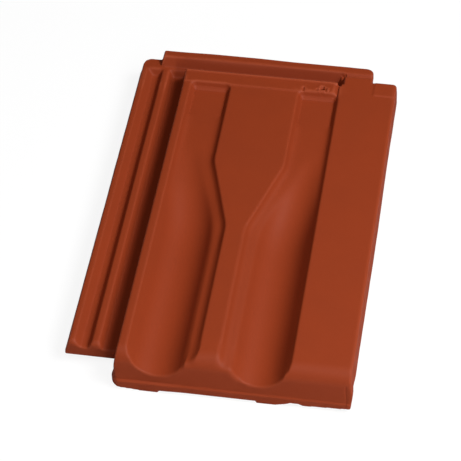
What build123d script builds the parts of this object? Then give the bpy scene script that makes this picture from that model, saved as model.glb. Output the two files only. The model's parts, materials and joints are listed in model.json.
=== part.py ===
"""Interlocking clay roof tile with two troughs, pressed and fired as one piece.

Millimetres. +X runs across the roof, from the side lock to the cover strip. +Y runs up the
roof, from the foot to the head. +Z is up. The tile lies on its front lugs and its nibs at
z = 0, and the origin is the middle of its outline at that level.
"""
import os
from math import radians, tan

from build123d import *

# Overall
tile_length = 437.0
top_height = 44.0
clay_thickness = 11.0
wall_draft = 33.0
overrun = 20.0

# Side lock on the left, across the tile: two ribs, the groove between them and a channel
plateau_drop = 15.0
lock_depth = 7.5
flange_thickness = 19.0
parting_rise = 5.0
underside_tuck = 0.5
edge_run = 3.6
outer_rib_top = 4.8
outer_rib_slope = 6.6
groove_floor = 7.0
inner_rib_face = 4.8
inner_rib_top = 6.1
inner_rib_slope = 4.3
channel_floor = 14.3
side_wall_run = 3.4
lock_head_stop = 19.0
lock_stop_run = 4.4
flange_foot = 26.0
flange_roll_radius = 5.5
groove_radius = 1.0

# Pan: a rim, two recesses with a blade between them, and a trough in each recess
rim_width = 8.0
rim_edge_radius = 2.0
pan_width = 160.4
recess_depth = 7.0
recess_corner_radius = 2.0
blade_foot_width = 28.5
blade_head_width = 81.1
blade_kink_low = 184.5
blade_kink_high = 273.0
blade_kink_radius = 45.0
trough_radius = 29.0
trough_spacing = 97.6
trough_depth = 23.6
trough_level_end = 183.0
ramp_middle = 240.0
ramp_middle_rise = 11.6
ramp_middle_shift = 8.1
ramp_end = 297.0
ramp_end_shift = 16.1
ramp_low_bend = 150.0
ramp_high_bend = 300.0
ramp_run_out_share = 1.6

# Cover strip on the right, with the lip and the rib that hang into the next tile's side lock
cover_width = 57.3
side_lip_run = 2.4
side_lip_height = 20.0
side_lip_thickness = 10.5
side_lip_draft_run = 2.0
side_lip_tuck = 2.0
cover_edge_radius = 2.0
cover_wall = 7.0
side_clearance = 0.5
hanging_rib_top = 8.0
hanging_rib_tip = 4.5
hanging_rib_depth = 8.0
hanging_rib_head_gap = 33.0

# Head lock, along the tile from the recesses to the head: land, channel and lip
land_length = 15.5
land_drop_run = 8.5
head_channel_length = 9.0
head_lip_run = 7.0
head_lip_length = 9.0
head_lip_drop = 5.0
head_lock_left = 23.1
head_lip_end_run = 3.8
land_edge_radius = 1.5
head_lip_edge_radius = 2.5
head_channel_radius = 1.5
head_lock_right_set = 27.5
head_lock_step = 4.8
channel_end_offset = 3.6
channel_end_run = 8.3
cover_head_set = 27.0
cover_step_from_head = 21.0
cover_step_run = 4.0
cover_step_drop = 7.5
cover_groove_length = 4.5
head_passage_height = 30.0

# Corners of the outline
flange_corner_radius = 9.0
lock_corner_radius = 2.5
cover_corner_radius = 7.0
foot_corner_radius = 8.0
side_corner_radius = 1.5
foot_right_corner_radius = 3.5

# Foot: a skirt with a low lip, a rolled top edge and two lugs to rest on
front_roll_radius = 17.0
front_face_run = 6.0
front_lip_height = 9.1
front_lip_step = 0.5
front_lip_reach = 1.4
front_lip_return = 20.0
front_lip_corner_radius = 9.5
skirt_thickness = 12.0
skirt_clearance = 2.4
lug_inner = 47.0
lug_flat_end = 67.0
left_lug_outer = 87.0
right_lug_outer = 76.0
lug_thickness = 9.0
lug_end_run = 1.0
skirt_notch_width = 17.0
skirt_notch_height = 2.4
skirt_notch_slope_run = 5.0
skirt_corner_rise = 2.2

# Underside of the pan and the head: the hollow, two nibs that hook over a batten, a nail hole
hollow_draft_run = 2.0
head_slope_run = 5.0
nib_spacing = 104.0
nib_width = 30.0
nib_thickness = 12.0
nib_from_head = 37.0
nib_draft_run = 4.0
nail_hole_radius = 2.5
nail_hole_offset = 61.7
nail_hole_from_head = 44.0

# Levels
plateau_level = top_height - plateau_drop
groove_level = plateau_level - lock_depth
flange_underside = plateau_level - flange_thickness
parting_level = flange_underside + parting_rise
recess_level = top_height - recess_depth
pan_ceiling = recess_level - clay_thickness
head_ceiling = plateau_level - clay_thickness
cover_ceiling = top_height - clay_thickness
side_lip_bottom = top_height - side_lip_height
head_lip_level = top_height - head_lip_drop
trough_axis_level = top_height - trough_depth + trough_radius
front_lip_top = skirt_clearance + front_lip_height

# Places across the tile, counted from the flange's outer edge
outer_rib_end = edge_run + outer_rib_top
groove_start = outer_rib_end + outer_rib_slope
groove_end = groove_start + groove_floor
inner_rib_start = groove_end + inner_rib_face
inner_rib_end = inner_rib_start + inner_rib_top
channel_start = inner_rib_end + inner_rib_slope
side_wall_foot = channel_start + channel_floor
rim_left = side_wall_foot + side_wall_run
pan_left = rim_left + rim_width
pan_right = pan_left + pan_width
pan_middle = pan_left + pan_width / 2
cover_right = pan_right + cover_width
tile_width = cover_right + side_lip_run
cover_inner = pan_right + cover_wall
lip_inner = tile_width - side_lip_run - side_lip_thickness
covering_width = tile_width - side_wall_foot + side_clearance
hanging_rib_middle = (groove_start + groove_end) / 2 + covering_width
head_lock_right = tile_width - head_lock_right_set
skirt_notch_left = pan_middle + right_lug_outer
skirt_notch_right = skirt_notch_left + skirt_notch_width
recess_draft_run = recess_depth * tan(radians(wall_draft))

# Places along the tile, counted from the foot
lip_crest = tile_length - head_lip_length
lip_foot = lip_crest - head_lip_run
land_drop_foot = lip_foot - head_channel_length
land_end = land_drop_foot - land_drop_run
recess_end = land_end - land_length
lock_stop = tile_length - lock_head_stop
flange_head = tile_length - head_lock_step
cover_head = tile_length - cover_head_set
cover_step = tile_length - cover_step_from_head
cover_groove_start = cover_step + cover_step_run
cover_groove_end = cover_groove_start + cover_groove_length
hanging_rib_end = tile_length - hanging_rib_head_gap
head_slope_start = land_end - head_slope_run
nib_foot = tile_length - nib_from_head


def at_x(place):
    """The X of a place counted from the flange's outer edge."""
    return place - tile_width / 2


def at_y(place):
    """The Y of a place counted from the foot."""
    return place - tile_length / 2


def across_at(place):
    """The plane across the tile at a place along it, seen from the foot."""
    return Plane.XZ.offset(-at_y(place))


def along_at(place):
    """The plane along the tile at a place across it, seen from the cover strip."""
    return Plane.YZ.offset(at_x(place))


def channel_end_x(height):
    """The X of the sloped wall that closes the head channel on the right, at a height."""
    top_x = at_x(pan_right + channel_end_offset)
    return top_x + channel_end_run * (height - top_height) / plateau_drop


def trough_body(side, radius, start, ceiling):
    """A round bar along one trough's axis, cut off flat above the ceiling.

    The side is -1 for the left trough and 1 for the right one.
    """
    middle = at_x(pan_middle)
    level_x = middle + side * trough_spacing / 2
    ramp_rise = trough_depth - recess_depth
    low = Vector(level_x, at_y(trough_level_end), trough_axis_level)
    bend = Vector(level_x + side * ramp_middle_shift, at_y(ramp_middle), trough_axis_level + ramp_middle_rise)
    high = Vector(level_x + side * ramp_end_shift, at_y(ramp_end), trough_axis_level + ramp_rise)
    far = bend + (high - bend) * ramp_run_out_share
    with BuildPart() as bar:
        with BuildLine() as axis:
            FilletPolyline(
                (level_x, at_y(start), trough_axis_level),
                low,
                bend,
                far,
                radius=[ramp_low_bend, ramp_high_bend],
            )
        with BuildSketch(across_at(start)):
            with Locations((level_x, trough_axis_level)):
                Circle(radius)
        sweep(path=axis.line)
        split(bisect_by=Plane.XY.offset(ceiling), keep=Keep.BOTTOM)
    return bar.part


# What the head lock takes out of the block: the channel, and the space over the lip
with BuildPart() as head_channel:
    with BuildSketch(along_at(-overrun)):
        with BuildLine():
            FilletPolyline(
                (at_y(land_end - land_drop_run), top_height + overrun),
                (at_y(land_end - land_drop_run), top_height),
                (at_y(land_end), top_height),
                (at_y(land_drop_foot), plateau_level),
                (at_y(lip_foot), plateau_level),
                (at_y(lip_crest), head_lip_level),
                (at_y(tile_length + overrun), head_lip_level),
                (at_y(tile_length + overrun), top_height + overrun),
                close=True,
                radius=[
                    0,
                    0,
                    land_edge_radius,
                    head_channel_radius,
                    head_channel_radius,
                    head_lip_edge_radius,
                    0,
                    0,
                ],
            )
        make_face()
    extrude(amount=tile_width + overrun)
    with BuildSketch(across_at(0)):
        Polygon(
            (at_x(-overrun), groove_level),
            (channel_end_x(groove_level), groove_level),
            (channel_end_x(top_height + overrun), top_height + overrun),
            (at_x(-overrun), top_height + overrun),
            align=None,
        )
    extrude(amount=-tile_length - overrun, mode=Mode.INTERSECT)

# The hollow under the pan and the head, with drafted side walls
with BuildPart() as hollow:
    with BuildSketch(along_at(0)):
        Polygon(
            (at_y(skirt_thickness), -overrun),
            (at_y(skirt_thickness), pan_ceiling),
            (at_y(head_slope_start), pan_ceiling),
            (at_y(head_slope_start + head_slope_run), head_ceiling),
            (at_y(tile_length + overrun), head_ceiling),
            (at_y(tile_length + overrun), -overrun),
            align=None,
        )
    extrude(amount=tile_width)
    with BuildSketch(across_at(0)):
        Polygon(
            (at_x(pan_left), -overrun),
            (at_x(pan_left), flange_underside),
            (at_x(pan_left + hollow_draft_run), pan_ceiling),
            (at_x(pan_right - hollow_draft_run), pan_ceiling),
            (at_x(pan_right), flange_underside),
            (at_x(pan_right), -overrun),
            align=None,
        )
    extrude(amount=-tile_length - overrun, mode=Mode.INTERSECT)

trough_cuts = [trough_body(side, trough_radius, -overrun, recess_level) for side in (-1, 1)]
keels = [
    trough_body(side, trough_radius + clay_thickness, skirt_thickness / 2, recess_level - clay_thickness / 2)
    for side in (-1, 1)
]

# Two nibs with an upright face towards the foot, and their other sides drafted
nib_top = (pan_ceiling + plateau_level) / 2
with BuildPart() as nibs:
    with BuildSketch(across_at(nib_foot)):
        for side in (-1, 1):
            nib_middle = at_x(pan_middle) + side * nib_spacing / 2
            Polygon(
                (nib_middle - nib_width / 2, 0),
                (nib_middle - nib_width / 2 - nib_draft_run, nib_top),
                (nib_middle + nib_width / 2 + nib_draft_run, nib_top),
                (nib_middle + nib_width / 2, 0),
                align=None,
            )
    extrude(amount=-nib_thickness - nib_draft_run)
    with BuildSketch(along_at(0)):
        Polygon(
            (at_y(nib_foot), 0),
            (at_y(nib_foot), nib_top),
            (at_y(nib_foot + nib_thickness + nib_draft_run), nib_top),
            (at_y(nib_foot + nib_thickness), 0),
            align=None,
        )
    extrude(amount=tile_width, mode=Mode.INTERSECT)

with BuildPart() as tile:
    # The section across the tile, from the side lock to the side lip
    with BuildSketch(across_at(0)):
        with BuildLine():
            FilletPolyline(
                (at_x(underside_tuck), flange_underside),
                (at_x(0), parting_level),
                (at_x(edge_run), plateau_level),
                (at_x(outer_rib_end), plateau_level),
                (at_x(groove_start), groove_level),
                (at_x(groove_end), groove_level),
                (at_x(inner_rib_start), plateau_level),
                (at_x(inner_rib_end), plateau_level),
                (at_x(channel_start), groove_level),
                (at_x(side_wall_foot), groove_level),
                (at_x(rim_left), top_height),
                (at_x(cover_right), top_height),
                (at_x(tile_width), side_lip_bottom),
                (at_x(tile_width - side_lip_tuck), skirt_clearance + skirt_corner_rise),
                (at_x(skirt_notch_right), skirt_clearance),
                (at_x(side_wall_foot), skirt_clearance),
                (at_x(side_wall_foot), flange_underside),
                close=True,
                radius=[
                    0,
                    0,
                    0,
                    0,
                    groove_radius,
                    groove_radius,
                    0,
                    0,
                    groove_radius,
                    0,
                    rim_edge_radius,
                    cover_edge_radius,
                    0,
                    0,
                    0,
                    0,
                    0,
                ],
            )
        make_face()
    extrude(amount=-tile_length)

    # The plateau that closes the groove and the channel at the head
    with BuildSketch(along_at(edge_run + outer_rib_top / 2)):
        Polygon(
            (at_y(lock_stop - lock_stop_run), flange_underside),
            (at_y(lock_stop - lock_stop_run), groove_level),
            (at_y(lock_stop), plateau_level),
            (at_y(tile_length), plateau_level),
            (at_y(tile_length), flange_underside),
            align=None,
        )
    extrude(amount=rim_left - edge_run)

    # The left end of the head lip, still a block with one leaning side
    with BuildSketch(across_at(lip_foot)):
        Polygon(
            (at_x(head_lock_left), flange_underside),
            (at_x(head_lock_left), plateau_level),
            (at_x(head_lock_left + head_lip_end_run), top_height),
            (at_x(pan_left), top_height),
            (at_x(pan_left), flange_underside),
            align=None,
        )
    extrude(amount=lip_foot - tile_length)

    # The head lock
    add(head_channel.part, mode=Mode.SUBTRACT)
    with BuildSketch(along_at(pan_right)):
        Polygon(
            (at_y(cover_step), top_height + overrun),
            (at_y(cover_step), top_height),
            (at_y(cover_groove_start), top_height - cover_step_drop),
            (at_y(cover_groove_end), top_height - cover_step_drop),
            (at_y(lip_crest), head_lip_level),
            (at_y(tile_length + overrun), head_lip_level),
            (at_y(tile_length + overrun), top_height + overrun),
            align=None,
        )
    extrude(amount=tile_width - pan_right + overrun, mode=Mode.SUBTRACT)

    # The outline seen from above
    with BuildSketch():
        with BuildLine():
            FilletPolyline(
                (at_x(0), at_y(flange_foot)),
                (at_x(0), at_y(flange_head)),
                (at_x(head_lock_left), at_y(flange_head)),
                (at_x(head_lock_left), at_y(tile_length)),
                (at_x(head_lock_right), at_y(tile_length)),
                (at_x(head_lock_right), at_y(cover_head)),
                (at_x(tile_width), at_y(cover_head)),
                (at_x(tile_width), at_y(0)),
                (at_x(side_wall_foot), at_y(0)),
                (at_x(side_wall_foot), at_y(flange_foot)),
                close=True,
                radius=[
                    side_corner_radius,
                    flange_corner_radius,
                    side_corner_radius,
                    lock_corner_radius,
                    cover_corner_radius,
                    side_corner_radius,
                    cover_corner_radius,
                    foot_right_corner_radius,
                    foot_corner_radius,
                    0,
                ],
            )
        make_face()
    extrude(amount=top_height + overrun, mode=Mode.INTERSECT)

    # The foot: a low lip, the face above it and the rolled edge
    with BuildSketch(along_at(side_wall_foot - overrun)):
        with BuildLine():
            face_top = at_y(front_lip_step + front_face_run)
            FilletPolyline(
                (at_y(-overrun), front_lip_top),
                (at_y(front_lip_step), front_lip_top),
                (face_top, top_height),
                (face_top + front_roll_radius, top_height),
                (face_top + front_roll_radius, top_height + overrun),
                (at_y(-overrun), top_height + overrun),
                close=True,
                radius=[0, 0, front_roll_radius, 0, 0, 0],
            )
        make_face()
    extrude(amount=tile_width - side_wall_foot + overrun + overrun, mode=Mode.SUBTRACT)

    # The lip's return round the foot's left corner
    with BuildSketch(Plane.XY.offset(skirt_clearance)):
        with BuildLine():
            lip_left = at_x(side_wall_foot - front_lip_reach)
            lip_right = at_x(side_wall_foot + front_lip_corner_radius)
            FilletPolyline(
                (lip_left, at_y(0)),
                (lip_right, at_y(0)),
                (lip_right, at_y(front_lip_return)),
                (at_x(side_wall_foot), at_y(front_lip_return)),
                (lip_left, at_y(front_lip_return / 2)),
                close=True,
                radius=[front_lip_corner_radius, 0, 0, 0, 0],
            )
        make_face()
    extrude(amount=front_lip_height)

    # The rolled foot of the flange's ribs
    with BuildSketch(along_at(-overrun)):
        with BuildLine():
            FilletPolyline(
                (at_y(flange_foot), groove_level),
                (at_y(flange_foot), plateau_level),
                (at_y(flange_foot + flange_roll_radius + lock_depth), plateau_level),
                (at_y(flange_foot + flange_roll_radius + lock_depth), plateau_level + overrun),
                (at_y(flange_foot - overrun), plateau_level + overrun),
                (at_y(flange_foot - overrun), groove_level),
                close=True,
                radius=[0, flange_roll_radius, 0, 0, 0, 0],
            )
        make_face()
    extrude(amount=side_wall_foot + overrun, mode=Mode.SUBTRACT)

    # The underside behind the skirt, down to the flange's own underside
    with BuildSketch(along_at(side_wall_foot - overrun)):
        Polygon(
            (at_y(skirt_thickness), -overrun),
            (at_y(skirt_thickness), flange_underside),
            (at_y(tile_length + overrun), flange_underside),
            (at_y(tile_length + overrun), -overrun),
            align=None,
        )
    extrude(amount=tile_width - side_wall_foot + overrun + overrun, mode=Mode.SUBTRACT)
    add(hollow.part, mode=Mode.SUBTRACT)

    # Under the cover strip: the side lip, the hanging rib and the room for the next side lock
    with BuildSketch(across_at(skirt_thickness)):
        Polygon(
            (at_x(cover_inner), -overrun),
            (at_x(cover_inner), cover_ceiling),
            (at_x(hanging_rib_middle - hanging_rib_top / 2), cover_ceiling),
            (at_x(hanging_rib_middle - hanging_rib_tip / 2), cover_ceiling - hanging_rib_depth),
            (at_x(hanging_rib_middle + hanging_rib_tip / 2), cover_ceiling - hanging_rib_depth),
            (at_x(hanging_rib_middle + hanging_rib_top / 2), cover_ceiling),
            (at_x(lip_inner), cover_ceiling),
            (at_x(lip_inner + side_lip_draft_run), side_lip_bottom),
            (at_x(tile_width + overrun), side_lip_bottom),
            (at_x(tile_width + overrun), -overrun),
            align=None,
        )
    extrude(amount=-(hanging_rib_end - skirt_thickness), mode=Mode.SUBTRACT)
    with BuildSketch(across_at(hanging_rib_end)):
        Polygon(
            (at_x(cover_inner), -overrun),
            (at_x(cover_inner), head_passage_height),
            (at_x(lip_inner), head_passage_height),
            (at_x(lip_inner + side_lip_draft_run), side_lip_bottom),
            (at_x(tile_width + overrun), side_lip_bottom),
            (at_x(tile_width + overrun), -overrun),
            align=None,
        )
    extrude(amount=-(tile_length - hanging_rib_end + overrun), mode=Mode.SUBTRACT)

    # The keels, which keep the clay's thickness under the troughs
    add(keels)

    # The recesses
    for side in (-1, 1):
        outer_floor = at_x(pan_middle) + side * (pan_width / 2 - recess_draft_run)
        foot_floor = at_x(pan_middle) + side * blade_foot_width / 2
        head_floor = at_x(pan_middle) + side * blade_head_width / 2
        with BuildSketch(Plane.XY.offset(recess_level)):
            with BuildLine():
                FilletPolyline(
                    (outer_floor, at_y(-overrun)),
                    (foot_floor, at_y(-overrun)),
                    (foot_floor, at_y(blade_kink_low)),
                    (head_floor, at_y(blade_kink_high)),
                    (head_floor, at_y(recess_end - recess_draft_run)),
                    (outer_floor, at_y(recess_end - recess_draft_run)),
                    close=True,
                    radius=[
                        0,
                        0,
                        blade_kink_radius,
                        blade_kink_radius,
                        recess_corner_radius,
                        recess_corner_radius,
                    ],
                )
            make_face()
        extrude(amount=recess_depth + overrun, taper=-wall_draft, mode=Mode.SUBTRACT)

    # The troughs
    add(trough_cuts, mode=Mode.SUBTRACT)

    # The shallow notch in the skirt's lower edge, beside the right lug
    with BuildSketch(across_at(0)):
        Polygon(
            (at_x(skirt_notch_left), skirt_clearance),
            (at_x(skirt_notch_left + skirt_notch_slope_run), skirt_clearance + skirt_notch_height),
            (at_x(skirt_notch_right - skirt_notch_slope_run), skirt_clearance + skirt_notch_height),
            (at_x(skirt_notch_right), skirt_clearance),
            align=None,
        )
    extrude(amount=-skirt_thickness, mode=Mode.SUBTRACT)

    # The lugs under the skirt
    for side, lug_outer in ((-1, left_lug_outer), (1, right_lug_outer)):
        middle = at_x(pan_middle)
        with BuildSketch(across_at(0)):
            Polygon(
                (middle + side * lug_inner, front_lip_top),
                (middle + side * lug_inner, skirt_clearance),
                (middle + side * (lug_inner + lug_end_run), 0),
                (middle + side * lug_flat_end, 0),
                (middle + side * lug_outer, skirt_clearance),
                (middle + side * lug_outer, front_lip_top),
                align=None,
            )
        extrude(amount=-lug_thickness)

    # The nibs
    add(nibs.part)

    # The nail hole
    with BuildSketch(Plane.XY):
        with Locations((at_x(pan_middle + nail_hole_offset), at_y(tile_length - nail_hole_from_head))):
            Circle(nail_hole_radius)
    extrude(amount=top_height + overrun, mode=Mode.SUBTRACT)

tile.part.label = "roof_tile"
os.makedirs("parts", exist_ok=True)
export_step(tile.part, "parts/roof_tile.step")
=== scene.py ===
"""An interlocking clay roof tile, pressed, coated with slip and fired, in a plain studio.

The packed solid gives every main form. This script rounds its edges the way pressed clay is
round, adds the fine relief of the press moulds, and gives it its fired surface.
Metres, with +X across the roof, +Y up the roof and +Z up, as in the frame.
"""
import json
from math import cos, radians, sin

import bmesh
import bpy
from bpy.props import FloatProperty, FloatVectorProperty, IntProperty, PointerProperty
from bpy.types import Operator, Panel, PropertyGroup
from mathutils import Matrix, Vector


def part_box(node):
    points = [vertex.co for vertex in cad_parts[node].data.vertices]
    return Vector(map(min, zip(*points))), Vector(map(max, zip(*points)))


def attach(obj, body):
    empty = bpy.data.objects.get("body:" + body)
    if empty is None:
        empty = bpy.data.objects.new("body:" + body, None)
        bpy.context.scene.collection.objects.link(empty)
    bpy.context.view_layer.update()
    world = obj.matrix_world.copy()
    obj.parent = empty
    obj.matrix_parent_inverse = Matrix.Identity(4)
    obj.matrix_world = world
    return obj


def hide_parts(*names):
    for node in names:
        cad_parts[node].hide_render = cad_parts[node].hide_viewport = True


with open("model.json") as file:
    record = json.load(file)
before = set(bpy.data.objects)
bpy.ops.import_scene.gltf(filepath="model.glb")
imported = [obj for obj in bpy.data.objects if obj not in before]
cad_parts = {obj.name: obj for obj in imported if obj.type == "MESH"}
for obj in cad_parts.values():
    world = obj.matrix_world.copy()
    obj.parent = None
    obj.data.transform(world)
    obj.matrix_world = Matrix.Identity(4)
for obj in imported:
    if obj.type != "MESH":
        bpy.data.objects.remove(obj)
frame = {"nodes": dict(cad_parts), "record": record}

bl_info = {
    "name": "Clay Roof Tile",
    "version": (1, 0, 0),
    "blender": (4, 5, 0),
    "location": "3D View > Sidebar > Roof Tile",
    "description": "Makes a pressed clay roof tile around its packed solid, and a studio for it",
    "category": "Object",
}

MM = 0.001
TILE_NODE = "roof_tile"
LOW_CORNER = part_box(TILE_NODE)[0]
NAIL_HOLE = next(m["pos_m"] for m in frame["record"]["mounts"] if m["name"] == "nail_hole")

# Places are in millimetres from the tile's left edge, its foot and its rest level. A box is its low
# corner, its high corner and how far it fades in from each side. These limits lie past the tile.
LEFT_OUT = -30
RIGHT_OUT = 340
FOOT_OUT = -20
HEAD_OUT = 460
FAR_HEAD_OUT = 700
BELOW = -5
ABOVE = 60

# Relief of the moulds and the trimming wire: the size that drives it, its direction and its box
RELIEF = (
    # The land at the head, the recesses' head ends and the head lip
    ("land_rise", (0, 0, 1), (52, 384.5, 39), (221.5, 408, ABOVE), (3, 3, 1)),
    ("edge_bead", (0, 0, 1), (52, 400.5, 39), (221.5, 412, ABOVE), (2, 3, 1)),
    ("recess_step", (0, 0, 1), (58, 381.4, 28), (227, 386.2, 41), (3, 1.2, 3)),
    ("head_bow", (0, 1, 0), (40, 425, 10), (170, HEAD_OUT, ABOVE), (45, 5, 4)),
    ("lip_end", (-1, -0.3, 0), (225, 420, 10), (262, HEAD_OUT, ABOVE), (14, 6, 4)),
    ("channel_end", (0, 0, -1), (218.6, 399.5, 38), (224.6, 411, ABOVE), (1.4, 2.5, 1)),
    ("channel_end", (0.6, 0, -0.8), (220.6, 416.0, 35), (227.0, 427.5, ABOVE), (1.4, 2.5, 1)),
    ("nail_mark", (0, 0, -1), (206.6, 388.0, 39), (210.2, 395.0, ABOVE), (1.3, 1.5, 1)),
    ("nail_mark", (0, 0, -1), (201.6, 389.8, 39), (207.0, 397.5, ABOVE), (1.2, 1.5, 1)),
    ("nail_mark", (0, 0, -1), (197.5, 389.5, 39), (203.5, 392.8, ABOVE), (1.5, 1.2, 1)),
    ("nail_mark", (0, 0, -1), (182.5, 387.0, 39), (186.0, 394.0, ABOVE), (1.3, 1.5, 1)),
    # The cover strip on the right
    ("corner_rise", (0, 0, 1), (257, 388.8, 39), (RIGHT_OUT, HEAD_OUT, ABOVE), (4, 2.2, 1)),
    ("head_flare", (1, 0, 0), (255, 270, BELOW), (RIGHT_OUT, FAR_HEAD_OUT, ABOVE), (28, 140, 1)),
    ("edge_flare", (1, 0, 0), (264, 170, 26), (RIGHT_OUT, FAR_HEAD_OUT, ABOVE), (14, 120, 12)),
    ("side_bow", (1, 0, 0), (255, 60, BELOW), (RIGHT_OUT, 340, ABOVE), (28, 130, 1)),
    ("foot_corner", (-1, 0, 0), (262, FOOT_OUT, 18), (RIGHT_OUT, 30, ABOVE), (18, 22, 10)),
    ("corner_groove", (0, 1, 0), (275.8, FOOT_OUT, 4), (278.4, 8, 34), (1.2, 3, 4)),
    # The flange on the left
    ("flange_flare", (-1, 0, 0), (LEFT_OUT, FOOT_OUT, BELOW), (8, HEAD_OUT, 19), (4, 1, 9)),
    ("flange_trim", (0, -1, 0), (LEFT_OUT, FOOT_OUT, BELOW), (51, 45, ABOVE), (4, 18, 1)),
    ("flange_corner", (0.7, -0.7, 0), (LEFT_OUT, 423, BELOW), (12, HEAD_OUT, ABOVE), (9, 8, 1)),
    # The lip along the foot and its left corner
    ("lip_reach", (0, -1, 0), (30, FOOT_OUT, BELOW), (RIGHT_OUT, 17, 12.5), (3, 9, 2)),
    ("lip_skew", (0, -1, 0), (30, FOOT_OUT, BELOW), (270, 17, 12.5), (200, 9, 2)),
    ("lip_corner", (0, -1, 0), (30, FOOT_OUT, BELOW), (125, 17, 13), (30, 8, 2)),
    ("corner_swell", (-0.9, -0.4, 0), (30, FOOT_OUT, BELOW), (75, 20, 21), (16, 10, 9)),
    # The left side of the blade between the troughs
    ("blade_flare", (-1, 0, 0), (119.5, -14, 24), (150, 24, ABOVE), (6.5, 20, 3)),
    ("wall_slope", (-1, 0, 0), (120, -14, 26), (140, 170, 44), (6, 30, 9)),
)

# Where edges are pressed rounder, each with its rounds of smoothing: the ribs' head ends and foot
# ends, the foot ends of the blade's left and right sides, and the blade's right edge
ROUNDED = (
    (14, (LEFT_OUT, 396, 15), (54, 424, ABOVE), (4, 6, 1)),
    (8, (LEFT_OUT, 20, 15), (50, 46, ABOVE), (4, 6, 1)),
    (30, (116, -2, 20), (134, 34, ABOVE), (4, 6, 1)),
    (40, (150, -2, 20), (176, 36, ABOVE), (4, 6, 1)),
    (14, (150, 20, 36), (172, 190, ABOVE), (4, 6, 1)),
)

# Where the troughs blend into their recesses, below the crisp edges of the rim and the blade
BLENDED = ((60, 8, 10), (226, 345, 41), (8, 12, 3))

# The seam between the land and the cover strip: its box, the place that its width is counted from,
# the place where it is deepest, and where the strip's wall beside it starts and ends
SEAM_BOX = ((200, 384, 39), (240, 402, ABOVE), (1.5, 1.5, 1))
SEAM_EDGE = 222.4
SEAM_FOOT = 220.9
SEAM_WALL = (222.6, 221.6)

# The clay raised round the nail hole: its levels, its head side counted from the hole, the width
# of its soft edge, and the size and depth of the waves in that edge
PAD_LEVELS = (39, 42)
PAD_HEAD_SIDE = (5, -1)
PAD_EDGE = 3.5 * MM
PAD_WAVE_SIZE = 6 * MM
PAD_WAVE_DEPTH = 9 * MM

# How far a face looks up, from -1 to 1, where an effect starts and where it is whole: the press's
# rounding, the blending, the slip's thickness and the bare clay
PRESSED_FACING = (-0.3, 0.5)
BLENDED_FACING = (0.0, 0.3)
COATED_FACING = (-0.7, -0.2)
MISSED_FACING = (0.0, -0.5)
# The same for side faces, looking up or down: their wander and their matt slip
WANDER_FACING = (0.6, 0.2)
MATT_FACING = (0.45, 0.15)
# Share of the rounding that faces looking down still get
LEAST_ROUNDING = 0.2

# The edge mask: its name, the rounds of smoothing that give the surface round a point, and how
# far a point stands out of that surface where the mask is 1
EDGE_MASK = "edge"
EDGE_ROUNDS = 8
EDGE_HEIGHT = 0.3 * MM
# The mask where edge wear and its painted highlight start and are whole,
# and where pooled slip and its painted shade start and are whole
WORN_AND_LIT_EDGE = (0.10, 0.70)
POOLED_AND_SHADED_EDGE = (-0.25, -1.0)

# Sides of the painted highlight on the head's edges, and of the painted shade in the head and side
# channels:
# the axis, where the mask is 0 and where it is 1
HEAD_HIGHLIGHT_SIDES = (("Y", 377, 397), ("X", 226, 222))
HEAD_CHANNEL_SHADE = (("Y", 406, 410), ("Y", 431, 425), ("X", 226, 222), ("X", 34, 54))
SIDE_CHANNEL_SHADE = (("X", 37, 42), ("X", 54, 50), ("Z", 42, 32))

# Layers of finer noise in the fired swells, the clay's grain and the slip's clouds
PLAIN_DETAIL = 1.0
SOFT_DETAIL = 2.0
GRAIN_DETAIL = 3.0
CLOUD_DETAIL = 4.0
# Noise where a cloud or a speckle starts and where it is whole
CLOUD_CONTRAST = (0.3, 0.7)
# How far the clouds shift the line where the slip's spray stops
MISSED_CLOUD = 0.2

# The clay's grain: sizes of its fine and coarse swells, the spacing of its pits, their edge as a
# share of it, and the depths of the coarse swells and the pits against the fine swells
GRAIN_SIZE = 1.1 * MM
COARSE_SIZE = 6.0 * MM
PIT_SPACING = 7.0 * MM
PIT_EDGE_SHARES = (0.10, 0.04)
COARSE_DEPTH_SHARE = 1.5
PIT_DEPTH_SHARE = 1.5

MERGE_DISTANCE = 0.001 * MM
SENSOR_WIDTH = 36.0
WHITE = (1, 1, 1, 1)

# Spacing of the columns and rows of nodes in the node editor
COLUMN_STEP = 220
ROW_STEP = 180

# Each light's name, its direction in degrees from the right and counter-clockwise, its height in
# degrees, and its level, which multiplies the power
LIGHTS = (
    ("key_right", -5.0, 56.0, 0.525),
    ("key_front", -35.0, 44.0, 0.225),
    ("front_fill", -62.0, 26.0, 0.085),
    ("top_front", -105.0, 66.0, 0.125),
    ("left_fill", -150.0, 40.0, 0.055),
)


def across(place):
    """The X of a place in millimetres from the tile's left edge."""
    return LOW_CORNER.x + place * MM


def level(height):
    """The Z of a height in millimetres over the level that the tile rests on."""
    return LOW_CORNER.z + height * MM


# Sizes and colours that a user would change

def length(name, description, default):
    """A size in metres that shows in scene units."""
    return FloatProperty(
        name=name,
        description=description,
        default=default,
        min=0.0,
        subtype="DISTANCE",
        unit="LENGTH",
        precision=5,
    )


def share(name, description, default):
    """A strength from 0 to 1."""
    return FloatProperty(
        name=name,
        description=description,
        default=default,
        min=0.0,
        max=1.0,
        subtype="FACTOR",
    )


def angle(name, description, degrees):
    """An angle, given in degrees."""
    return FloatProperty(name=name, description=description, default=radians(degrees), subtype="ANGLE")


def count(name, description, default):
    """A whole number."""
    return IntProperty(name=name, description=description, default=default, min=0)


def colour(name, description, default):
    """A linear colour."""
    return FloatVectorProperty(
        name=name,
        description=description,
        default=default,
        min=0.0,
        max=1.0,
        size=3,
        subtype="COLOR",
    )


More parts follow.
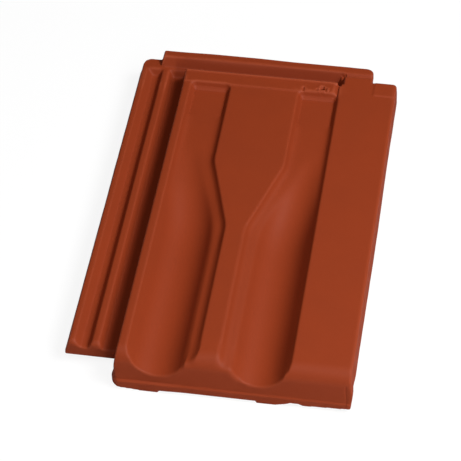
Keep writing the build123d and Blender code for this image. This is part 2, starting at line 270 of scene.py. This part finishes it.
class PressedForm(PropertyGroup):
    """How the press and the kiln left the tile's shape"""

    voxel: length("Surface step", "Spacing of the points that the solid is turned into", 0.7 * MM)
    triangle_limit: count("Triangle limit", "Most triangles in the finished tile", 190000)
    softening: count("Edge softening", "Rounds of smoothing that turn sharp edges into pressed ones", 4)
    blending: count("Trough blending", "Rounds that blend the troughs into their recesses", 90)
    warp: length("Warp", "How far the fired faces stray from true", 0.25 * MM)
    warp_size: length("Warp size", "Width of one swell of the warp", 90 * MM)
    edge_wander: length("Edge wander", "How far the trimmed side faces wander", 0.45 * MM)
    edge_wander_size: length("Edge wander size", "Length of one wave of a trimmed edge", 22 * MM)
    coat: length("Coat", "Thickness of the slip over the pressed clay", 0.45 * MM)
    pad_rise: length("Pad rise", "Height of the clay raised round the nail hole", 1.0 * MM)
    pad_radius: length("Pad radius", "Radius of the clay raised round the nail hole", 8.0 * MM)
    seam_depth: length("Seam depth", "Depth of the seam between land and cover strip", 2.4 * MM)
    seam_width: length("Seam width", "Width of the seam between land and cover strip", 7.0 * MM)
    land_rise: length("Land rise", "Height of the head land over the blade and the rim", 1.0 * MM)
    edge_bead: length("Edge bead", "Height of the bead along the land's head edge", 1.2 * MM)
    recess_step: length("Recess step", "Height of the ledge at the recesses' head ends", 0.9 * MM)
    head_bow: length("Head bow", "How far the head's upper edge bows outwards", 1.0 * MM)
    lip_end: length("Lip end", "How far the head lip's right end is drawn in", 0.9 * MM)
    channel_end: length("Channel end", "Depth of the dents at the head channel's right end", 3.0 * MM)
    nail_mark: length("Nail mark", "Depth of the marks beside the nail hole", 1.2 * MM)
    corner_rise: length("Corner rise", "Height of the step at the strip's head corner", 0.9 * MM)
    head_flare: length("Head flare", "How far the right edge flares outwards at the head", 0.6 * MM)
    edge_flare: length("Edge flare", "How far the strip's top edge flares at the head", 0.9 * MM)
    side_bow: length("Side bow", "How far the right edge bows outwards", 0.5 * MM)
    foot_corner: length("Foot corner", "How far the foot's right corner is drawn in", 1.2 * MM)
    corner_groove: length("Corner groove", "Depth of the line beside that corner", 0.5 * MM)
    flange_flare: length("Flange flare", "How far the flange's lower edge stands out", 1.3 * MM)
    flange_trim: length("Flange trim", "How far the flange's foot runs on", 0.9 * MM)
    flange_corner: length("Flange corner", "How far the flange's head corner is drawn in", 2.0 * MM)
    lip_reach: length("Lip reach", "How far the foot's lip stands forward", 0.6 * MM)
    lip_skew: length("Lip skew", "How much further the lip stands forward on the left", 1.3 * MM)
    lip_corner: length("Lip corner", "How far the lip's left end stands forward", 1.0 * MM)
    corner_swell: length("Corner swell", "How far the foot's left corner swells outwards", 1.0 * MM)
    blade_flare: length("Blade flare", "How far the blade's left side flares at the foot", 2.5 * MM)
    wall_slope: length("Wall slope", "How far the foot of the blade's left side runs out", 1.6 * MM)


class ClayFinish(PropertyGroup):
    """The slip and the clay under it"""

    slip: colour("Slip", "The orange-red slip", (0.312, 0.0460, 0.0128))
    slip_cloud: colour("Slip cloud", "Where the slip lies thicker", (0.288, 0.0422, 0.0115))
    # The rubbed edge colour is partly wear and partly a painted highlight
    rubbed_and_highlight: colour("Rubbed edge", "Edges, where the slip is thin", (0.420, 0.0780, 0.0300))
    # The pooled colour is partly pooled slip and partly painted shade in inner corners; it also paints
    # the shade in the two channels and colours the dark speckles
    pooled_and_shaded: colour("Pooled slip", "Inner corners, where the slip pools", (0.235, 0.0320, 0.0085))
    bare: colour("Bare clay", "The underside, which the slip's spray misses", (0.345, 0.085, 0.034))
    cloud_size: length("Cloud size", "Width of the slip's slow changes of shade", 45 * MM)
    speckle_size: length("Speckle size", "Width of the slip's dark speckles", 0.9 * MM)
    clouding: share("Clouding", "Strength of the slow changes of shade", 0.6)
    speckling: share("Speckling", "Strength of the dark speckles", 0.12)
    # Wear lightens the edges, partly for wear and partly as a painted highlight; handling adds a painted
    # highlight along the head's edges
    wear_and_highlight: share("Wear", "How far the slip is rubbed off the edges", 0.12)
    head_highlight: share("Handling", "How much further it is rubbed off at the head", 0.60)
    # Pooling darkens inner corners, partly for pooled slip and partly as painted shade
    pooling_and_shade: share("Pooling", "How far the slip pools in inner corners", 0.5)
    # Shelter paints shade into the head and side channels
    channel_shade: share("Shelter", "How far the slip pools in the two channels", 0.85)
    roughness: share("Roughness", "Roughness of the slip", 0.50)
    cloud_roughness: share("Cloud roughness", "Roughness that the thicker slip adds", 0.06)
    bare_roughness: share("Bare roughness", "Roughness that the bare clay adds", 0.2)
    side_roughness: share("Side roughness", "Roughness that the upright faces add", 0.3)
    reflection: share("Reflection", "Level of the slip's reflections", 0.15)
    grain_depth: length("Grain depth", "Depth of the fine grain", 0.05 * MM)


class Studio(PropertyGroup):
    """Camera, lights and floor"""

    azimuth: angle("Azimuth", "Turn of the camera to the right", 10.30)
    elevation: angle("Elevation", "Height of the camera", 47.39)
    roll: angle("Roll", "Tilt of the picture", -1.81)
    target: FloatVectorProperty(
        name="Target",
        description="The point in the middle of the picture",
        default=(-6.3 * MM, -21.4 * MM, 22.0 * MM),
        subtype="TRANSLATION",
        unit="LENGTH",
    )
    distance: length("Distance", "From the camera to its target", 2.081)
    lens: FloatProperty(
        name="Lens",
        description="Focal length in millimetres on a 36 mm sensor",
        default=159.6,
        min=1,
        unit="CAMERA",
    )
    power: FloatProperty(
        name="Power",
        description="Watts of a light whose level is 1",
        default=39.5,
        min=0,
        unit="POWER",
    )
    lamp_size: length("Light size", "Side of each square light", 0.7)
    lamp_distance: length("Light distance", "From the middle of the floor to each light", 1.8)
    fill: share("Fill", "Strength of the even light from all round", 0.0)
    floor: colour("Floor", "The pale floor", (0.80, 0.80, 0.80))
    floor_reach: length("Floor reach", "From the middle of the floor to its sides", 6.0)
    floor_glow: FloatProperty(
        name="Floor glow",
        description="Strength of the floor's own white",
        default=1.10,
        min=0,
    )
    glow_share: share("Glow share", "Share of the floor's own white that the camera sees", 0.8)


SETTINGS = (
    ("tile_form", PressedForm),
    ("tile_finish", ClayFinish),
    ("tile_studio", Studio),
)
# Settings of the form that are whole numbers in the relief's tree, and those that it doesn't read
ROUND_COUNTS = ("softening", "blending")
MESH_SETTINGS = ("voxel", "triangle_limit")


# Nodes

def node(tree, kind, inputs=None, **settings):
    """A new node with its settings. An input is set, or linked if its value is a socket."""
    made = tree.nodes.new(kind)
    for name, value in settings.items():
        setattr(made, name, value)
    for name, value in (inputs or {}).items():
        if isinstance(value, bpy.types.NodeSocket):
            tree.links.new(value, made.inputs[name])
        else:
            made.inputs[name].default_value = value
    return made


def maths(tree, operation, *values):
    """The result of a Math node."""
    return node(tree, "ShaderNodeMath", dict(enumerate(values)), operation=operation).outputs[0]


def vector_maths(tree, operation, *values):
    """The vector that a Vector Math node gives."""
    return node(tree, "ShaderNodeVectorMath", dict(enumerate(values)), operation=operation).outputs[0]


def scaled(tree, vector, factor):
    """A vector times a factor."""
    inputs = {0: vector, "Scale": factor}
    return node(tree, "ShaderNodeVectorMath", inputs, operation="SCALE").outputs[0]


def parts(tree, vector):
    """The X, Y and Z of a vector."""
    return node(tree, "ShaderNodeSeparateXYZ", {0: vector}).outputs


def step(tree, value, start, end):
    """0 up to start and 1 from end on, with a soft step between them."""
    inputs = {"Value": value, "From Min": start, "From Max": end}
    return node(tree, "ShaderNodeMapRange", inputs, interpolation_type="SMOOTHSTEP").outputs["Result"]


def side_step(tree, facing, start, end):
    """A step on how far a face looks up or down."""
    return step(tree, maths(tree, "ABSOLUTE", facing), start, end)


def noise(tree, place, size, detail):
    """Noise about zero, from -0.5 to 0.5, with swells of about this size, which may be a socket."""
    scale = maths(tree, "DIVIDE", 1.0, size)
    made = node(tree, "ShaderNodeTexNoise", {"Vector": place, "Scale": scale, "Detail": detail})
    return maths(tree, "SUBTRACT", made.outputs[0], 0.5)


def new_group(name, kind, sockets):
    """An empty node group with its sockets, given as name, in or out, and type."""
    tree = bpy.data.node_groups.new(name, kind)
    for label, side, socket_type in sockets:
        tree.interface.new_socket(name=label, in_out=side, socket_type=socket_type)
    return tree


def arrange(tree):
    """Sets the nodes in columns, each as far left as the nodes that read it need."""
    column = {}
    order = list(tree.nodes)
    for _ in order:
        moved_any = False
        for link in tree.links:
            wanted = column.get(link.to_node.name, 0) + 1
            if column.get(link.from_node.name, 0) < wanted:
                column[link.from_node.name] = wanted
                moved_any = True
        if not moved_any:
            break
    filled = {}
    for made in order:
        place = column.get(made.name, 0)
        row = filled.get(place, 0)
        filled[place] = row + 1
        made.location = (-COLUMN_STEP * place, -ROW_STEP * row)


# The pressed form

def position(tree):
    """Where each point of the surface is."""
    return node(tree, "GeometryNodeInputPosition").outputs[0]


def normal(tree):
    """Which way the surface faces at each point."""
    return node(tree, "GeometryNodeInputNormal").outputs[0]


def moved(tree, geometry, offset):
    """The geometry with each point moved by its offset."""
    inputs = {"Geometry": geometry, "Offset": offset}
    return node(tree, "GeometryNodeSetPosition", inputs).outputs[0]


def around(tree, rounds, weight=1.0):
    """The mean place of the surface round each point."""
    inputs = {"Iterations": rounds, "Weight": weight}
    made = node(tree, "GeometryNodeBlurAttribute", inputs, data_type="FLOAT_VECTOR")
    tree.links.new(position(tree), next(s for s in made.inputs if s.name == "Value" and s.enabled))
    return next(s for s in made.outputs if s.enabled)


def smoothed(tree, geometry, rounds, weight):
    """The geometry after rounds of smoothing, as far as each point's weight from 0 to 1 lets it."""
    inputs = {"Geometry": geometry, "Position": around(tree, rounds, weight)}
    return node(tree, "GeometryNodeSetPosition", inputs).outputs[0]


def soft_box():
    """The node group that gives 1 inside a box and fades to 0 at its sides."""
    known = bpy.data.node_groups.get("Soft Box")
    if known:
        return known
    tree = new_group("Soft Box", "GeometryNodeTree", (
        ("Low", "INPUT", "NodeSocketVector"),
        ("High", "INPUT", "NodeSocketVector"),
        ("Fade", "INPUT", "NodeSocketVector"),
        ("Inside", "OUTPUT", "NodeSocketFloat"),
    ))
    given = node(tree, "NodeGroupInput").outputs
    inner_low = vector_maths(tree, "ADD", given["Low"], given["Fade"])
    inner_high = vector_maths(tree, "SUBTRACT", given["High"], given["Fade"])
    sides = []
    for outer, inner in ((given["Low"], inner_low), (given["High"], inner_high)):
        ends = {"Vector": position(tree), "From_Min_FLOAT3": outer, "From_Max_FLOAT3": inner}
        made = tree.nodes.new("ShaderNodeMapRange")
        made.data_type = "FLOAT_VECTOR"
        made.interpolation_type = "SMOOTHSTEP"
        for name, value in ends.items():
            tree.links.new(value, next(s for s in made.inputs if s.identifier == name))
        sides.append(made.outputs["Vector"])
    both = parts(tree, vector_maths(tree, "MULTIPLY", *sides))
    both_across = maths(tree, "MULTIPLY", both["X"], both["Y"])
    node(tree, "NodeGroupOutput", {"Inside": maths(tree, "MULTIPLY", both_across, both["Z"])})
    arrange(tree)
    return tree


def inside(tree, low, high, fade):
    """1 inside a box that is given in millimetres, and 0 outside it."""
    corners = [tuple(LOW_CORNER + Vector(corner) * MM) for corner in (low, high)]
    inputs = {"Low": corners[0], "High": corners[1], "Fade": tuple(Vector(fade) * MM)}
    return node(tree, "GeometryNodeGroup", inputs, node_tree=soft_box()).outputs["Inside"]


def with_pressed_edges(tree, given, geometry):
    """Pressed edges are round, and the trimmed ones that face down stay crisp."""
    facing = parts(tree, normal(tree))["Z"]
    pressed = step(tree, facing, *PRESSED_FACING)
    pressed = maths(tree, "MULTIPLY", pressed, 1.0 - LEAST_ROUNDING)
    pressed = maths(tree, "ADD", pressed, LEAST_ROUNDING)
    geometry = smoothed(tree, geometry, given["softening"], pressed)

    blend = step(tree, facing, *BLENDED_FACING)
    blend = maths(tree, "MULTIPLY", inside(tree, *BLENDED), blend)
    geometry = smoothed(tree, geometry, given["blending"], blend)
    for rounds, *box in ROUNDED:
        geometry = smoothed(tree, geometry, rounds, inside(tree, *box))
    return geometry


def with_relief(tree, given, geometry):
    """The relief of the moulds and the trimming wire."""
    total = (0, 0, 0)
    for size, direction, *box in RELIEF:
        amount = maths(tree, "MULTIPLY", inside(tree, *box), given[size])
        total = vector_maths(tree, "ADD", total, scaled(tree, direction, amount))
    return moved(tree, geometry, total)


def seam_depth(tree, given, place):
    """How deep the seam beside the cover strip is at each point."""
    slope_top = maths(tree, "SUBTRACT", across(SEAM_EDGE), given["seam_width"])
    slope = step(tree, place["X"], slope_top, across(SEAM_FOOT))
    wall = step(tree, place["X"], *[across(side) for side in SEAM_WALL])
    seam = maths(tree, "MULTIPLY", maths(tree, "MULTIPLY", slope, wall), inside(tree, *SEAM_BOX))
    return maths(tree, "MULTIPLY", seam, given["seam_depth"])


def pad_height(tree, given, place):
    """How high the clay is raised round the nail hole at each point."""
    from_hole = vector_maths(tree, "SUBTRACT", position(tree), tuple(NAIL_HOLE))
    from_hole = vector_maths(tree, "MULTIPLY", from_hole, (1, 1, 0))
    reach = node(tree, "ShaderNodeVectorMath", {0: from_hole}, operation="LENGTH").outputs["Value"]
    waves = noise(tree, position(tree), PAD_WAVE_SIZE, SOFT_DETAIL)
    reach = maths(tree, "ADD", reach, maths(tree, "MULTIPLY", waves, PAD_WAVE_DEPTH))
    pad = step(tree, reach, given["pad_radius"], maths(tree, "SUBTRACT", given["pad_radius"], PAD_EDGE))
    head_side = step(tree, place["Y"], *[NAIL_HOLE[1] + past * MM for past in PAD_HEAD_SIDE])
    on_land = step(tree, place["Z"], *[level(height) for height in PAD_LEVELS])
    pad = maths(tree, "MULTIPLY", maths(tree, "MULTIPLY", pad, head_side), on_land)
    return maths(tree, "MULTIPLY", pad, given["pad_rise"])


def with_seam_and_pad(tree, given, geometry):
    """The seam beside the cover strip, and the clay raised round the nail hole."""
    place = parts(tree, position(tree))
    rise = maths(tree, "SUBTRACT", pad_height(tree, given, place), seam_depth(tree, given, place))
    return moved(tree, geometry, node(tree, "ShaderNodeCombineXYZ", {"Z": rise}).outputs[0])


def with_firing(tree, given, geometry):
    """Drying and firing leave broad swells, the trimmed sides wander, and slip coats the top."""
    facing = parts(tree, normal(tree))["Z"]
    swell = noise(tree, position(tree), given["warp_size"], PLAIN_DETAIL)
    wander = noise(tree, position(tree), given["edge_wander_size"], SOFT_DETAIL)
    wander = maths(tree, "MULTIPLY", wander, given["edge_wander"])
    wander = maths(tree, "MULTIPLY", wander, side_step(tree, facing, *WANDER_FACING))
    push = maths(tree, "ADD", maths(tree, "MULTIPLY", swell, given["warp"]), wander)
    push = maths(tree, "ADD", push, given["coat"])
    push = maths(tree, "MULTIPLY", push, step(tree, facing, *COATED_FACING))
    return moved(tree, geometry, scaled(tree, normal(tree), push))


def with_edge_mask(tree, geometry):
    """Stores how far each point stands out of the surface round it, which is below 0 in corners."""
    proud = vector_maths(tree, "SUBTRACT", position(tree), around(tree, EDGE_ROUNDS))
    inputs = {0: proud, 1: normal(tree)}
    edge = node(tree, "ShaderNodeVectorMath", inputs, operation="DOT_PRODUCT").outputs["Value"]
    edge = maths(tree, "DIVIDE", edge, EDGE_HEIGHT)
    inputs = {"Geometry": geometry, "Name": EDGE_MASK, "Value": edge}
    settings = {"data_type": "FLOAT", "domain": "POINT"}
    return node(tree, "GeometryNodeStoreNamedAttribute", inputs, **settings).outputs[0]


def relief_tree():
    """The tree that gives the remeshed tile its soft edges, its relief, its warp and its edge mask."""
    sockets = [("Geometry", "INPUT", "NodeSocketGeometry")]
    for name in PressedForm.__annotations__:
        if name not in MESH_SETTINGS:
            kind = "NodeSocketInt" if name in ROUND_COUNTS else "NodeSocketFloat"
            sockets.append((name, "INPUT", kind))
    sockets.append(("Finish", "INPUT", "NodeSocketMaterial"))
    sockets.append(("Geometry", "OUTPUT", "NodeSocketGeometry"))
    tree = new_group("Pressed Relief", "GeometryNodeTree", sockets)
    given = node(tree, "NodeGroupInput").outputs

    geometry = with_pressed_edges(tree, given, given["Geometry"])
    geometry = with_relief(tree, given, geometry)
    geometry = with_seam_and_pad(tree, given, geometry)
    geometry = with_firing(tree, given, geometry)
    geometry = with_edge_mask(tree, geometry)

    geometry = node(tree, "GeometryNodeRealizeInstances", {0: geometry}).outputs[0]
    inputs = {"Geometry": geometry, "Material": given["Finish"]}
    geometry = node(tree, "GeometryNodeSetMaterial", inputs).outputs[0]
    node(tree, "NodeGroupOutput", {"Geometry": geometry})
    arrange(tree)
    return tree


def set_inputs(modifier, values):
    """Sets a Geometry Nodes modifier's inputs by name, through their socket identifiers."""
    for item in modifier.node_group.interface.items_tree:
        if item.in_out == "INPUT" and item.name in values:
            modifier[item.identifier] = values[item.name]


# The fired surface

def mixed(tree, factor, first, second):
    """The mix of two colours, which may be sockets."""
    made = node(tree, "ShaderNodeMix", data_type="RGBA")
    for name, value in (("Factor_Float", factor), ("A_Color", first), ("B_Color", second)):
        socket = next(s for s in made.inputs if s.identifier == name)
        if isinstance(value, bpy.types.NodeSocket):
            tree.links.new(value, socket)
        else:
            socket.default_value = (*value, 1.0)
    return next(s for s in made.outputs if s.identifier == "Result_Color")


def within(tree, place, sides):
    """1 inside these sides, each an axis, where the mask is 0 and where it is 1."""
    mask = 1.0
    for axis, start, end in sides:
        corner = getattr(LOW_CORNER, axis.lower())
        side = step(tree, place[axis], corner + start * MM, corner + end * MM)
        mask = maths(tree, "MULTIPLY", mask, side)
    return mask


def cloud_group():
    """A node group with the slip's slow changes of shade and its fine speckle, each from 0 to 1."""
    tree = new_group("Slip Cloud", "ShaderNodeTree", (
        ("Cloud Size", "INPUT", "NodeSocketFloat"),
        ("Speckle Size", "INPUT", "NodeSocketFloat"),
        ("Cloud", "OUTPUT", "NodeSocketFloat"),
        ("Speckle", "OUTPUT", "NodeSocketFloat"),
    ))
    given = node(tree, "NodeGroupInput").outputs
    place = node(tree, "ShaderNodeTexCoord").outputs["Object"]
    shades = {}
    for label, detail in (("Cloud", CLOUD_DETAIL), ("Speckle", SOFT_DETAIL)):
        scale = maths(tree, "DIVIDE", 1.0, given[label + " Size"])
        inputs = {"Vector": place, "Scale": scale, "Detail": detail}
        made = node(tree, "ShaderNodeTexNoise", inputs)
        shades[label] = step(tree, made.outputs[0], *CLOUD_CONTRAST)
    node(tree, "NodeGroupOutput", shades)
    arrange(tree)
    return tree


def grain_group():
    """A node group with the height of the clay's grain, in metres: a fine roughness and a few pits."""
    tree = new_group("Clay Grain", "ShaderNodeTree", (
        ("Depth", "INPUT", "NodeSocketFloat"),
        ("Height", "OUTPUT", "NodeSocketFloat"),
    ))
    given = node(tree, "NodeGroupInput").outputs
    place = node(tree, "ShaderNodeTexCoord").outputs["Object"]
    fine = noise(tree, place, GRAIN_SIZE, GRAIN_DETAIL)
    coarse = noise(tree, place, COARSE_SIZE, SOFT_DETAIL)
    cells = node(tree, "ShaderNodeTexVoronoi", {"Vector": place, "Scale": 1.0 / PIT_SPACING})
    pits = step(tree, cells.outputs["Distance"], *PIT_EDGE_SHARES)
    height = maths(tree, "ADD", fine, maths(tree, "MULTIPLY", coarse, COARSE_DEPTH_SHARE))
    height = maths(tree, "SUBTRACT", height, maths(tree, "MULTIPLY", pits, PIT_DEPTH_SHARE))
    node(tree, "NodeGroupOutput", {"Height": maths(tree, "MULTIPLY", height, given["Depth"])})
    arrange(tree)
    return tree


def slip_colour(tree, finish, cloud):
    """The slip: clouded, lighter at its edges for wear and a painted highlight, darker in inner corners
    for pooled slip and painted shade, and darker in the locks' channels for painted shade.
    """
    edge = node(tree, "ShaderNodeAttribute", attribute_name=EDGE_MASK).outputs["Fac"]
    place = parts(tree, node(tree, "ShaderNodeTexCoord").outputs["Object"])
    thicker = maths(tree, "MULTIPLY", cloud, finish.clouding)
    base = mixed(tree, thicker, finish.slip, finish.slip_cloud)

    # Lighter edges: partly wear, partly a painted highlight, with a stronger painted highlight along the
    # head's edges
    wear_and_highlight = maths(tree, "MULTIPLY", within(tree, place, HEAD_HIGHLIGHT_SIDES), finish.head_highlight)
    wear_and_highlight = maths(tree, "ADD", wear_and_highlight, finish.wear_and_highlight)
    worn_and_lit = maths(tree, "MULTIPLY", step(tree, edge, *WORN_AND_LIT_EDGE), wear_and_highlight)
    base = mixed(tree, worn_and_lit, base, finish.rubbed_and_highlight)

    # Painted shade in the head and side channels
    channel_shades = [within(tree, place, sides) for sides in (HEAD_CHANNEL_SHADE, SIDE_CHANNEL_SHADE)]
    painted_channel_shade = maths(tree, "MULTIPLY", maths(tree, "MAXIMUM", *channel_shades), finish.channel_shade)
    # Inner corners darker: partly pooled slip, partly painted shade
    pooled_and_shaded = maths(tree, "MULTIPLY", step(tree, edge, *POOLED_AND_SHADED_EDGE), finish.pooling_and_shade)
    return mixed(tree, maths(tree, "MAXIMUM", pooled_and_shaded, painted_channel_shade), base, finish.pooled_and_shaded)


def slip_roughness(tree, finish, cloud, facing, missed):
    """The slip's roughness, which the thicker slip, the bare clay and the side faces raise."""
    rough = maths(tree, "MULTIPLY", cloud, finish.cloud_roughness)
    rough = maths(tree, "ADD", rough, finish.roughness)
    rough = maths(tree, "ADD", rough, maths(tree, "MULTIPLY", missed, finish.bare_roughness))
    side = side_step(tree, facing, *MATT_FACING)
    return maths(tree, "ADD", rough, maths(tree, "MULTIPLY", side, finish.side_roughness))


def clay_material(finish):
    """Fired clay under an orange-red slip, which leaves it bare underneath."""
    material = bpy.data.materials.new("orange_red_slip")
    material.use_nodes = True
    tree = material.node_tree
    surface = tree.nodes["Principled BSDF"]
    sizes = {"Cloud Size": finish.cloud_size, "Speckle Size": finish.speckle_size}
    shade = node(tree, "ShaderNodeGroup", sizes, node_tree=cloud_group()).outputs
    facing = parts(tree, node(tree, "ShaderNodeNewGeometry").outputs["Normal"])["Z"]
    line = maths(tree, "ADD", facing, maths(tree, "MULTIPLY", shade["Cloud"], MISSED_CLOUD))
    missed = step(tree, line, *MISSED_FACING)

    base = mixed(tree, missed, slip_colour(tree, finish, shade["Cloud"]), finish.bare)
    # The dark speckles take the colour of the pooled slip and painted shade
    speckle = maths(tree, "MULTIPLY", shade["Speckle"], finish.speckling)
    tree.links.new(mixed(tree, speckle, base, finish.pooled_and_shaded), surface.inputs["Base Color"])
    rough = slip_roughness(tree, finish, shade["Cloud"], facing, missed)
    tree.links.new(rough, surface.inputs["Roughness"])
    grain = node(tree, "ShaderNodeGroup", {"Depth": finish.grain_depth}, node_tree=grain_group())
    inputs = {"Strength": 1.0, "Distance": 1.0, "Height": grain.outputs["Height"]}
    bump = node(tree, "ShaderNodeBump", inputs)
    tree.links.new(bump.outputs["Normal"], surface.inputs["Normal"])
    surface.inputs["Specular IOR Level"].default_value = finish.reflection
    arrange(tree)
    return material


# The tile

def merged_copy(name, source):
    """A new object with a copy of a frame node's mesh, its doubled points merged."""
    mesh = bpy.data.meshes.new(name)
    shell = bmesh.new()
    shell.from_mesh(source.data)
    bmesh.ops.remove_doubles(shell, verts=shell.verts, dist=MERGE_DISTANCE)
    shell.to_mesh(mesh)
    shell.free()
    piece = bpy.data.objects.new(name, mesh)
    bpy.context.scene.collection.objects.link(piece)
    return piece


def settle(piece):
    """Turns a piece's modifiers into its mesh."""
    evaluated = piece.evaluated_get(bpy.context.evaluated_depsgraph_get())
    made = bpy.data.meshes.new_from_object(evaluated)
    piece.modifiers.clear()
    old = piece.data
    piece.data = made
    bpy.data.meshes.remove(old)


class ROOFTILE_OT_press(Operator):
    """Make the pressed and fired tile from its packed solid"""

    bl_idname = "rooftile.press"
    bl_label = "Press the Tile"

    def execute(self, context):
        form = context.scene.tile_form
        piece = merged_copy("pressed_tile", frame["nodes"][TILE_NODE])
        remesh = piece.modifiers.new("Surface", "REMESH")
        remesh.mode = "VOXEL"
        remesh.voxel_size = form.voxel
        settle(piece)

        relief = piece.modifiers.new("Relief", "NODES")
        relief.node_group = relief_tree()
        sizes = {name: getattr(form, name) for name in PressedForm.__annotations__}
        set_inputs(relief, {**sizes, "Finish": clay_material(context.scene.tile_finish)})
        settle(piece)

        triangles = sum(len(face.vertices) - 2 for face in piece.data.polygons)
        if not triangles:
            raise RuntimeError("the tile's surface came out empty")
        thin = piece.modifiers.new("Thin", "DECIMATE")
        thin.ratio = min(1.0, form.triangle_limit / triangles)
        settle(piece)
        piece.data.shade_smooth()

        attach(piece, "root")
        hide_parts(TILE_NODE)
        return {"FINISHED"}


# The stage

def floor_material(studio):
    """A pale floor that looks white to the camera and keeps the tile's shadow."""
    material = bpy.data.materials.new("studio_floor")
    material.use_nodes = True
    tree = material.node_tree
    tree.nodes.clear()
    sweep = node(tree, "ShaderNodeBsdfDiffuse", {"Color": (*studio.floor, 1.0)}).outputs[0]
    inputs = {"Color": WHITE, "Strength": studio.floor_glow}
    glow = node(tree, "ShaderNodeEmission", inputs).outputs[0]
    camera_ray = node(tree, "ShaderNodeLightPath").outputs["Is Camera Ray"]
    seen_share = maths(tree, "MULTIPLY", camera_ray, studio.glow_share)
    seen = node(tree, "ShaderNodeMixShader", {0: seen_share, 1: sweep, 2: glow}).outputs[0]
    node(tree, "ShaderNodeOutputMaterial", {"Surface": seen})
    arrange(tree)
    return material


def lay_floor(scene, studio):
    """Lays a square floor at the level that the tile rests on."""
    reach = studio.floor_reach
    corners = [(-reach, -reach, 0), (reach, -reach, 0), (reach, reach, 0), (-reach, reach, 0)]
    mesh = bpy.data.meshes.new("floor")
    mesh.from_pydata(corners, [], [(0, 1, 2, 3)])
    floor = bpy.data.objects.new("floor", mesh)
    floor.data.materials.append(floor_material(studio))
    scene.collection.objects.link(floor)


def hang_light(scene, studio, name, turn, height, power):
    """Hangs a square soft light in this direction from the middle of the floor, aimed at it."""
    lamp = bpy.data.lights.new(name, "AREA")
    lamp.size = studio.lamp_size
    lamp.energy = power
    holder = bpy.data.objects.new(name, lamp)
    direction = Vector((cos(turn) * cos(height), sin(turn) * cos(height), sin(height)))
    holder.location = direction * studio.lamp_distance
    holder.rotation_euler = (-direction).to_track_quat("-Z", "Y").to_euler()
    scene.collection.objects.link(holder)


def fill_air(scene, studio):
    """Gives the scene air that looks white to the camera, and lights the tile by the fill."""
    world = bpy.data.worlds.new("studio_air")
    world.use_nodes = True
    tree = world.node_tree
    tree.nodes.clear()
    seen = node(tree, "ShaderNodeLightPath").outputs["Is Camera Ray"]
    strength = maths(tree, "MAXIMUM", seen, studio.fill)
    air = node(tree, "ShaderNodeBackground", {"Color": WHITE, "Strength": strength}).outputs[0]
    node(tree, "ShaderNodeOutputWorld", {"Surface": air})
    arrange(tree)
    scene.world = world


def camera_turn(azimuth, elevation, roll):
    """The camera's rotation: azimuth 0 looks along +Y, and roll tilts it about its own view."""
    back = Vector((sin(azimuth) * cos(elevation), -cos(azimuth) * cos(elevation), sin(elevation)))
    right = Vector((cos(azimuth), sin(azimuth), 0.0))
    up = back.cross(right)
    untilted = Matrix((right, up, back)).transposed()
    return untilted @ Matrix.Rotation(roll, 3, "Z")


def set_camera(scene, studio):
    """Sets the camera at its distance from its target."""
    camera = bpy.data.objects.new("camera", bpy.data.cameras.new("camera"))
    camera.data.lens = studio.lens
    camera.data.sensor_width = SENSOR_WIDTH
    turn = camera_turn(studio.azimuth, studio.elevation, studio.roll)
    place = Vector(studio.target) + turn.col[2] * studio.distance
    camera.matrix_world = Matrix.Translation(place) @ turn.to_4x4()
    scene.collection.objects.link(camera)
    scene.camera = camera


class ROOFTILE_OT_stage(Operator):
    """Set the floor, the lights and the camera"""

    bl_idname = "rooftile.stage"
    bl_label = "Set the Stage"

    def execute(self, context):
        scene = context.scene
        studio = scene.tile_studio
        lay_floor(scene, studio)
        for name, turn, height, light_level in LIGHTS:
            power = studio.power * light_level
            hang_light(scene, studio, name, radians(turn), radians(height), power)
        fill_air(scene, studio)
        set_camera(scene, studio)
        scene.view_settings.view_transform = "Standard"
        return {"FINISHED"}


class ROOFTILE_PT_sidebar(Panel):
    """The tile's steps and settings"""

    bl_idname = "ROOFTILE_PT_sidebar"
    bl_label = "Roof Tile"
    bl_space_type = "VIEW_3D"
    bl_region_type = "UI"
    bl_category = "Roof Tile"

    def draw(self, context):
        for step_class in STEPS:
            self.layout.operator(step_class.bl_idname)
        for name, group in SETTINGS:
            box = self.layout.box()
            box.label(text=group.__doc__)
            for field in group.__annotations__:
                box.prop(getattr(context.scene, name), field)


STEPS = (ROOFTILE_OT_press, ROOFTILE_OT_stage)
CLASSES = (*[group for _, group in SETTINGS], *STEPS, ROOFTILE_PT_sidebar)


def register():
    for item in CLASSES:
        bpy.utils.register_class(item)
    for name, group in SETTINGS:
        setattr(bpy.types.Scene, name, PointerProperty(type=group))


def unregister():
    for name, _ in SETTINGS:
        delattr(bpy.types.Scene, name)
    for item in reversed(CLASSES):
        bpy.utils.unregister_class(item)


def main():
    """Makes the tile and its stage."""
    register()
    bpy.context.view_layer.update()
    bpy.ops.rooftile.press()
    bpy.ops.rooftile.stage()


if __name__ == "__main__":
    main()
